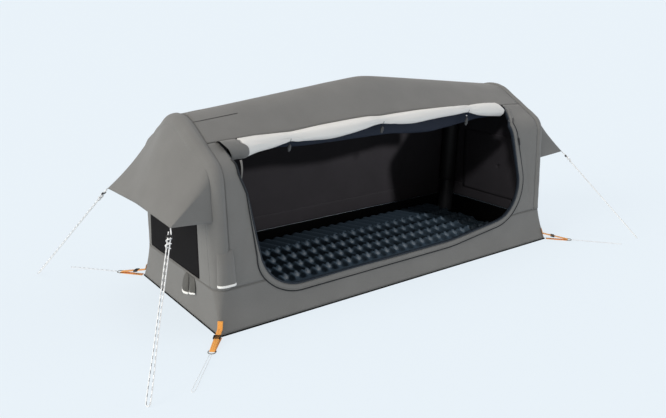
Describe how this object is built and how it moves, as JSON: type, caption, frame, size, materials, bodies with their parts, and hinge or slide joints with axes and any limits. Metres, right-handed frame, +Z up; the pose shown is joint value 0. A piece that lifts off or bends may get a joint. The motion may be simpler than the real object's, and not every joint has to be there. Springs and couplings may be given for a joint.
{
  "type": "inflatable tent",
  "caption": "One-person inflatable tent: long gabled cabin on air beams, rolled-up side door, end windows under hoods, air mat, webbing corner anchors and guy lines.",
  "frame": {"origin": "centre of the groundsheet's underside, on the ground", "axes": "+X along the tent, +Y away from the door side, +Z up; the end at -X has the cable entry"},
  "size_m": [3.3858, 1.6852, 1.0967],
  "materials": {
    "canvas": "matt woven polycotton",
    "sleeve_cloth": "matt woven",
    "groundsheet_cloth": "coated woven",
    "window_net": "fine net",
    "net_door_cloth": "fine net, rolled",
    "door_lining": "matt, pale",
    "beam_film": "smooth film",
    "mat_film": "coated, satin",
    "zip_tape": "matt",
    "black_plastic": "moulded",
    "orange_webbing": "flat woven webbing",
    "ring_steel": "dark, satin",
    "white_rope": "braided"
  },
  "bodies": {
    "tent": {"air_frame": "beam_film", "air_mat": "mat_film", "anchor_cord_back_left": "white_rope", "anchor_cord_back_right": "white_rope", "anchor_cord_front_left": "white_rope", "anchor_cord_front_right": "white_rope", "anchor_ring_back_left": "ring_steel", "anchor_ring_back_right": "ring_steel", "anchor_ring_front_left": "ring_steel", "anchor_ring_front_right": "ring_steel", "anchor_strap_back_left": "orange_webbing", "anchor_strap_back_right": "orange_webbing", "anchor_strap_front_left": "orange_webbing", "anchor_strap_front_right": "orange_webbing", "arch_cover_left": "canvas", "arch_cover_right": "canvas", "arch_sleeve_left": "sleeve_cloth", "arch_sleeve_right": "sleeve_cloth", "back_panel": "canvas", "door_roll": "door_lining", "door_tie_left": "net_door_cloth", "door_tie_middle": "net_door_cloth", "door_tie_right": "net_door_cloth", "door_zip": "zip_tape", "end_wall_left": "canvas", "end_wall_right": "canvas", "front_panel_left": "canvas", "front_panel_right": "canvas", "groundsheet": "groundsheet_cloth", "guy_rope_back_left": "white_rope", "guy_rope_back_right": "white_rope", "guy_rope_front_left": "white_rope", "guy_rope_front_right": "white_rope", "hood_left": "canvas", "hood_right": "canvas", "net_roll": "net_door_cloth", "ridge_sleeve": "sleeve_cloth", "roof_back": "canvas", "roof_front": "canvas", "valve_body": "black_plastic", "wall_skirt": "canvas", "window_net_left": "window_net", "window_net_right": "window_net"},
    "valve_flap": {"valve_flap": "canvas"},
    "valve_cap": {"valve_cap": "black_plastic"},
    "cable_flap_front": {"cable_flap_front": "canvas"},
    "cable_flap_back": {"cable_flap_back": "canvas"},
    "zip_slider": {"zip_slider": "black_plastic"},
    "zip_pull": {"zip_pull": "black_plastic"},
    "tie_toggle_left": {"tie_toggle_left": "black_plastic"},
    "tie_toggle_middle": {"tie_toggle_middle": "black_plastic"},
    "tie_toggle_right": {"tie_toggle_right": "black_plastic"},
    "anchor_buckle_front_left": {"anchor_buckle_front_left": "black_plastic"},
    "guy_runner_front_left": {"guy_runner_front_left": "black_plastic"},
    "anchor_buckle_back_left": {"anchor_buckle_back_left": "black_plastic"},
    "guy_runner_back_left": {"guy_runner_back_left": "black_plastic"},
    "anchor_buckle_front_right": {"anchor_buckle_front_right": "black_plastic"},
    "guy_runner_front_right": {"guy_runner_front_right": "black_plastic"},
    "anchor_buckle_back_right": {"anchor_buckle_back_right": "black_plastic"},
    "guy_runner_back_right": {"guy_runner_back_right": "black_plastic"}
  },
  "joints": [
    {"name": "valve_flap_lift", "type": "hinge", "parent": "tent", "child": "valve_flap", "pos_m": [-1.12158, -0.42895, 0.4001], "axis": [-1, 0, 0], "range_deg": [0, 110]},
    {"name": "valve_cap_turn", "type": "hinge", "parent": "tent", "child": "valve_cap", "pos_m": [-1.13738, -0.43114, 0.31002], "axis": [-0.2588, -0.965, 0.0424], "range_deg": [0, 90]},
    {"name": "cable_flap_front_lift", "type": "hinge", "parent": "tent", "child": "cable_flap_front", "pos_m": [-1.18232, -0.175, 0.203], "axis": [0, 1, 0], "range_deg": [0, 90]},
    {"name": "cable_flap_back_lift", "type": "hinge", "parent": "tent", "child": "cable_flap_back", "pos_m": [-1.18232, -0.095, 0.203], "axis": [0, 1, 0], "range_deg": [0, 90]},
    {"name": "zip_slide", "type": "slide", "parent": "tent", "child": "zip_slider", "axis": [0.2521, -0.0425, -0.9668], "range_m": [0, 0.2]},
    {"name": "zip_pull_swing", "type": "hinge", "parent": "zip_slider", "child": "zip_pull", "pos_m": [0.91955, -0.42305, 0.6904], "axis": [-0.9677, -0.0111, -0.2519], "range_deg": [0, 150]},
    {"name": "tie_toggle_left_swing", "type": "hinge", "parent": "tent", "child": "tie_toggle_left", "pos_m": [-0.67, -0.282, 0.8493], "axis": [-1, 0, 0], "range_deg": [-10, 70]},
    {"name": "tie_toggle_middle_swing", "type": "hinge", "parent": "tent", "child": "tie_toggle_middle", "pos_m": [-0.07, -0.282, 0.87766], "axis": [-1, 0, 0], "range_deg": [-10, 70]},
    {"name": "tie_toggle_right_swing", "type": "hinge", "parent": "tent", "child": "tie_toggle_right", "pos_m": [0.59, -0.282, 0.8532], "axis": [-1, 0, 0], "range_deg": [-10, 70]},
    {"name": "buckle_slide_front_left", "type": "slide", "parent": "tent", "child": "anchor_buckle_front_left", "axis": [-0.6337, -0.7552, -0.1677], "range_m": [-0.03, 0.04]},
    {"name": "runner_slide_front_left", "type": "slide", "parent": "tent", "child": "guy_runner_front_left", "axis": [-0.4106, -0.5548, -0.7237], "range_m": [0, 0.44]},
    {"name": "buckle_slide_back_left", "type": "slide", "parent": "tent", "child": "anchor_buckle_back_left", "axis": [-0.6337, 0.7552, -0.1677], "range_m": [-0.03, 0.04]},
    {"name": "runner_slide_back_left", "type": "slide", "parent": "tent", "child": "guy_runner_back_left", "axis": [-0.4106, 0.5548, -0.7237], "range_m": [0, 0.44]},
    {"name": "buckle_slide_front_right", "type": "slide", "parent": "tent", "child": "anchor_buckle_front_right", "axis": [0.6337, -0.7552, -0.1677], "range_m": [-0.03, 0.04]},
    {"name": "runner_slide_front_right", "type": "slide", "parent": "tent", "child": "guy_runner_front_right", "axis": [0.4106, -0.5548, -0.7237], "range_m": [0, 0.44]},
    {"name": "buckle_slide_back_right", "type": "slide", "parent": "tent", "child": "anchor_buckle_back_right", "axis": [0.6337, 0.7552, -0.1677], "range_m": [-0.03, 0.04]},
    {"name": "runner_slide_back_right", "type": "slide", "parent": "tent", "child": "guy_runner_back_right", "axis": [0.4106, 0.5548, -0.7237], "range_m": [0, 0.44]}
  ]
}
